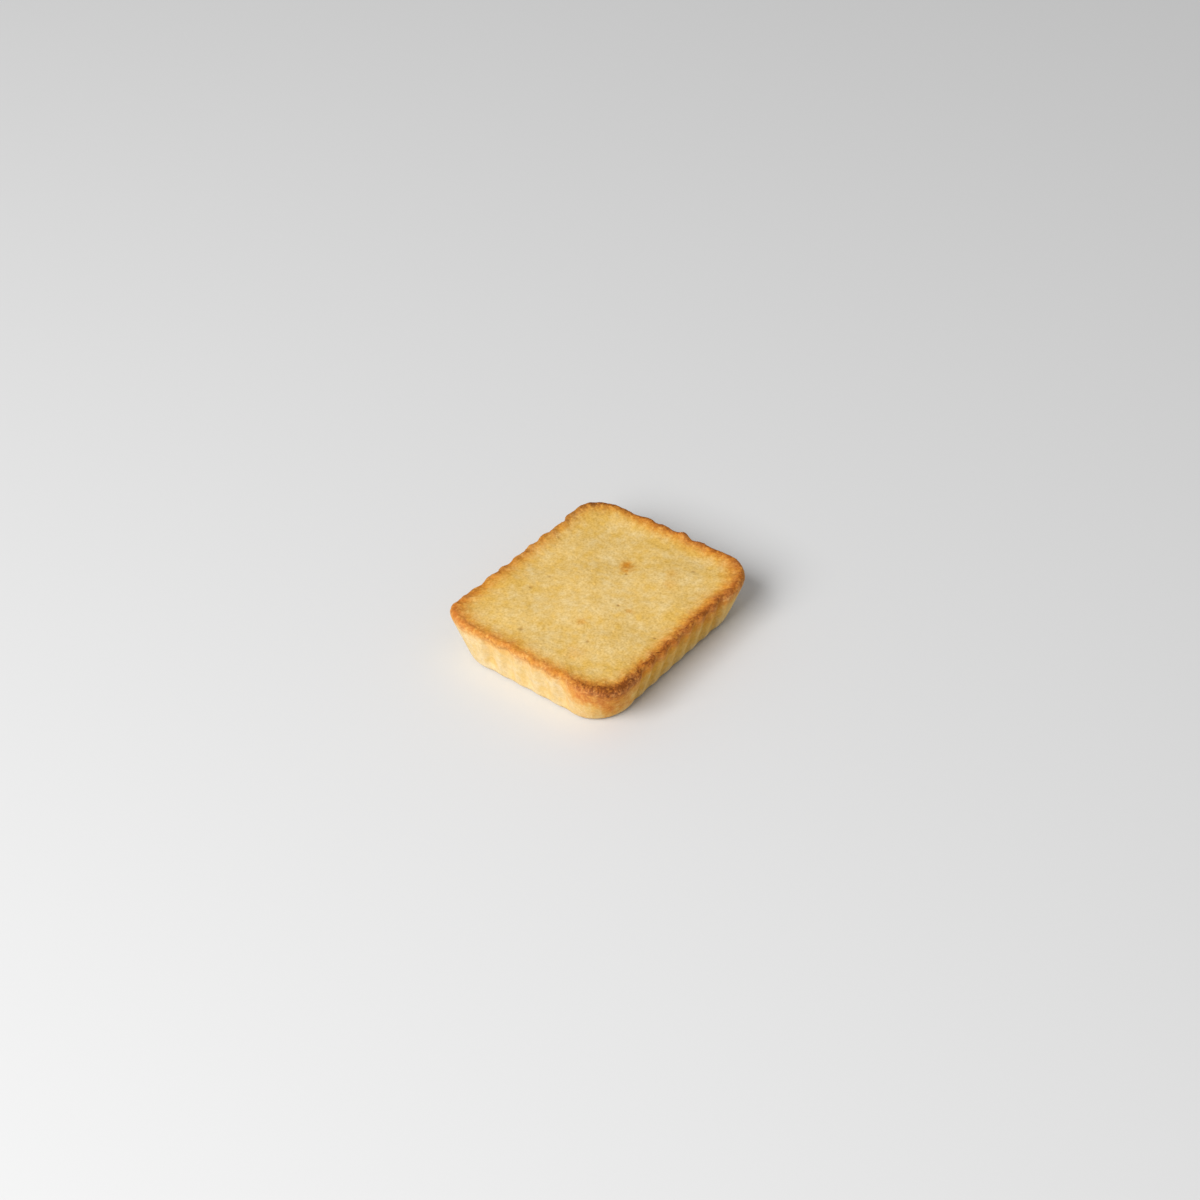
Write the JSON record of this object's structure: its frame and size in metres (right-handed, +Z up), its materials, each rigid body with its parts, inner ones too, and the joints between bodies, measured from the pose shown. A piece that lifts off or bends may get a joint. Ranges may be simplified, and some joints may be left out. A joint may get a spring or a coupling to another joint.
{
  "type": "cake bar",
  "caption": "Pale golden baked cake bar: a low block with round corners, fluted leaning sides, a raised browned rim and a shallow granular top.",
  "frame": {"origin": "under the middle of the part's box, at the level of the flat base", "axes": "+X along the long sides, +Y along the short sides, +Z up through the top"},
  "size_m": [0.0908, 0.0774, 0.02],
  "materials": {
    "baked_crumb": "dry granular golden crumb with an orange-brown rim"
  },
  "bodies": {
    "root": {"cake": "baked_crumb"}
  },
  "joints": []
}
